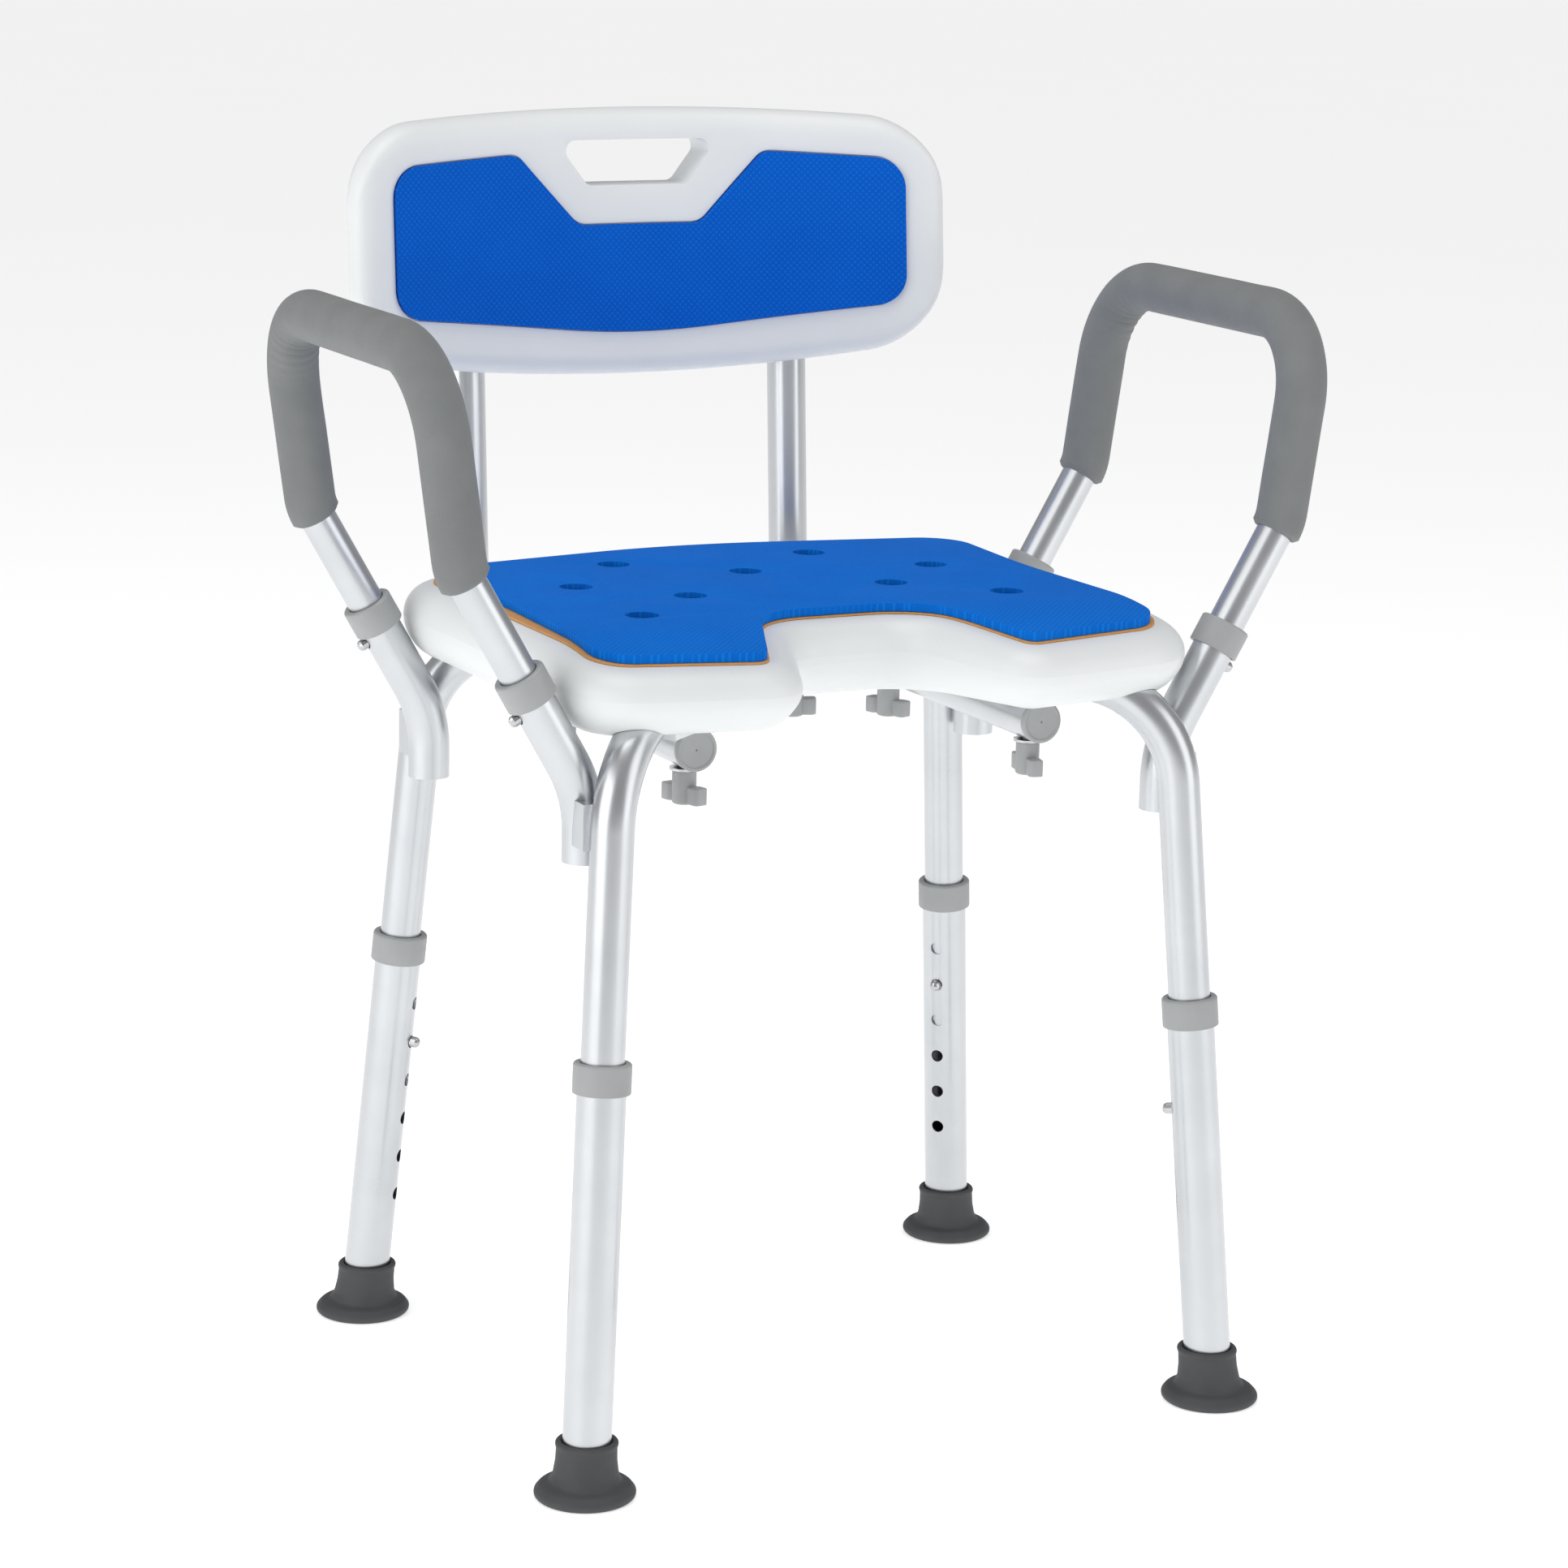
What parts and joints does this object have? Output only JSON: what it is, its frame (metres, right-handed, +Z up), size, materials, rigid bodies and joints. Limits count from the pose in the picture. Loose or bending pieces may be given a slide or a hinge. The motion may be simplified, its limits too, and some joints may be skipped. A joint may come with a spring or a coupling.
{
  "type": "shower chair",
  "caption": "Shower chair with padded cut-out seat, padded curved back, removable looped arms and telescopic splayed legs on rubber feet.",
  "frame": {"origin": "on the floor, under the middle of the whole box", "axes": "+Z up; the sitter faces -Y; +X is to the right for someone facing the chair from the front"},
  "size_m": [0.5998, 0.4832, 0.7605],
  "materials": {
    "anodised_aluminium": "satin anodised drawn tube",
    "polished_steel": "polished stainless",
    "white_hdpe": "blow-moulded, soft sheen",
    "blue_eva_foam": "embossed closed-cell foam",
    "tan_adhesive_sheet": "matt adhesive sheet",
    "grey_nylon": "injection-moulded, fine grain",
    "grey_foam": "closed-cell foam sleeve",
    "dark_rubber": "moulded rubber"
  },
  "bodies": {
    "frame": {"seat_shell": "white_hdpe", "seat_pad": "blue_eva_foam", "seat_pad_backing": "tan_adhesive_sheet", "back_shell": "white_hdpe", "back_pad": "blue_eva_foam", "back_post_l": "anodised_aluminium", "post_cap_l": "grey_nylon", "back_post_r": "anodised_aluminium", "post_cap_r": "grey_nylon", "cross_tube_a": "anodised_aluminium", "cross_tube_b": "anodised_aluminium", "washer_centre": "polished_steel", "washer_fl": "polished_steel", "washer_fr": "polished_steel", "washer_rl": "polished_steel", "washer_rr": "polished_steel", "arm_socket_fl": "anodised_aluminium", "weld_plate_fl": "anodised_aluminium", "arm_collar_fl": "grey_nylon", "arm_socket_fr": "anodised_aluminium", "weld_plate_fr": "anodised_aluminium", "arm_collar_fr": "grey_nylon", "arm_socket_rl": "anodised_aluminium", "weld_plate_rl": "anodised_aluminium", "arm_collar_rl": "grey_nylon", "arm_socket_rr": "anodised_aluminium", "weld_plate_rr": "anodised_aluminium", "arm_collar_rr": "grey_nylon"},
    "knob_centre_body": {"knob_centre": "grey_nylon"},
    "knob_fl_body": {"knob_fl": "grey_nylon"},
    "knob_fr_body": {"knob_fr": "grey_nylon"},
    "knob_rl_body": {"knob_rl": "grey_nylon"},
    "knob_rr_body": {"knob_rr": "grey_nylon"},
    "leg_fl": {"lower_leg_fl": "anodised_aluminium", "leg_collar_fl": "grey_nylon", "foot_fl": "dark_rubber"},
    "button_leg_clip_fl": {"leg_clip_fl": "polished_steel"},
    "leg_fr": {"lower_leg_fr": "anodised_aluminium", "leg_collar_fr": "grey_nylon", "foot_fr": "dark_rubber"},
    "button_leg_clip_fr": {"leg_clip_fr": "polished_steel"},
    "leg_rl": {"lower_leg_rl": "anodised_aluminium", "leg_collar_rl": "grey_nylon", "foot_rl": "dark_rubber"},
    "button_leg_clip_rl": {"leg_clip_rl": "polished_steel"},
    "leg_rr": {"lower_leg_rr": "anodised_aluminium", "leg_collar_rr": "grey_nylon", "foot_rr": "dark_rubber"},
    "button_leg_clip_rr": {"leg_clip_rr": "polished_steel"},
    "arm_l": {"arm_tube_l": "anodised_aluminium", "arm_grip_l": "grey_foam"},
    "button_arm_clip_fl": {"arm_clip_fl": "polished_steel"},
    "button_arm_clip_rl": {"arm_clip_rl": "polished_steel"},
    "arm_r": {"arm_tube_r": "anodised_aluminium", "arm_grip_r": "grey_foam"},
    "button_arm_clip_fr": {"arm_clip_fr": "polished_steel"},
    "button_arm_clip_rr": {"arm_clip_rr": "polished_steel"}
  },
  "joints": [
    {"name": "leg_height_fl", "type": "slide", "parent": "frame", "child": "leg_fl", "axis": [0.0617, 0.0697, 0.9957], "range_m": [-0.0254, 0.1016], "deforming": ["leg_clip_fl"]},
    {"name": "leg_button_fl", "type": "slide", "parent": "frame", "child": "button_leg_clip_fl", "axis": [0.7703, 0.631, -0.0919], "range_m": [-0.0072, 0], "stiffness_N_per_m": 1500, "springref_m": 0.001},
    {"name": "leg_height_fr", "type": "slide", "parent": "frame", "child": "leg_fr", "axis": [-0.0617, 0.0697, 0.9957], "range_m": [-0.0254, 0.1016], "deforming": ["leg_clip_fr"]},
    {"name": "leg_button_fr", "type": "slide", "parent": "frame", "child": "button_leg_clip_fr", "axis": [-0.7703, 0.631, -0.0919], "range_m": [-0.0072, 0], "stiffness_N_per_m": 1500, "springref_m": 0.001},
    {"name": "leg_height_rl", "type": "slide", "parent": "frame", "child": "leg_rl", "axis": [0.0746, -0.0657, 0.995], "range_m": [-0.0254, 0.1016], "deforming": ["leg_clip_rl"]},
    {"name": "leg_button_rl", "type": "slide", "parent": "frame", "child": "button_leg_clip_rl", "axis": [0.7687, -0.6319, -0.0994], "range_m": [-0.0072, 0], "stiffness_N_per_m": 1500, "springref_m": 0.001},
    {"name": "leg_height_rr", "type": "slide", "parent": "frame", "child": "leg_rr", "axis": [-0.0746, -0.0657, 0.995], "range_m": [-0.0254, 0.1016], "deforming": ["leg_clip_rr"]},
    {"name": "leg_button_rr", "type": "slide", "parent": "frame", "child": "button_leg_clip_rr", "axis": [-0.7687, -0.6319, -0.0994], "range_m": [-0.0072, 0], "stiffness_N_per_m": 1500, "springref_m": 0.001},
    {"name": "arm_lift_l", "type": "slide", "parent": "frame", "child": "arm_l", "axis": [-0.5, 0, 0.866], "range_m": [0, 0.08], "deforming": ["arm_clip_fl", "arm_clip_rl"]},
    {"name": "arm_button_fl", "type": "slide", "parent": "arm_l", "child": "button_arm_clip_fl", "axis": [-0.866, 0, -0.5], "range_m": [-0.0072, 0], "stiffness_N_per_m": 1500, "springref_m": 0.001},
    {"name": "arm_button_rl", "type": "slide", "parent": "arm_l", "child": "button_arm_clip_rl", "axis": [-0.866, 0, -0.5], "range_m": [-0.0072, 0], "stiffness_N_per_m": 1500, "springref_m": 0.001},
    {"name": "arm_lift_r", "type": "slide", "parent": "frame", "child": "arm_r", "axis": [0.5, 0, 0.866], "range_m": [0, 0.08], "deforming": ["arm_clip_fr", "arm_clip_rr"]},
    {"name": "arm_button_fr", "type": "slide", "parent": "arm_r", "child": "button_arm_clip_fr", "axis": [0.866, 0, -0.5], "range_m": [-0.0072, 0], "stiffness_N_per_m": 1500, "springref_m": 0.001},
    {"name": "arm_button_rr", "type": "slide", "parent": "arm_r", "child": "button_arm_clip_rr", "axis": [0.866, 0, -0.5], "range_m": [-0.0072, 0], "stiffness_N_per_m": 1500, "springref_m": 0.001},
    {"name": "knob_turn_centre", "type": "hinge", "parent": "frame", "child": "knob_centre_body", "pos_m": [0, -0.0342, 0.43165], "axis": [0, 0, 1], "continuous": true},
    {"name": "knob_turn_fl", "type": "hinge", "parent": "frame", "child": "knob_fl_body", "pos_m": [-0.1144, -0.1263, 0.40555], "axis": [0, 0, 1], "continuous": true},
    {"name": "knob_turn_fr", "type": "hinge", "parent": "frame", "child": "knob_fr_body", "pos_m": [0.1144, -0.1263, 0.40555], "axis": [0, 0, 1], "continuous": true},
    {"name": "knob_turn_rl", "type": "hinge", "parent": "frame", "child": "knob_rl_body", "pos_m": [-0.1144, 0.05791, 0.40555], "axis": [0, 0, 1], "continuous": true},
    {"name": "knob_turn_rr", "type": "hinge", "parent": "frame", "child": "knob_rr_body", "pos_m": [0.1144, 0.05791, 0.40555], "axis": [0, 0, 1], "continuous": true}
  ]
}
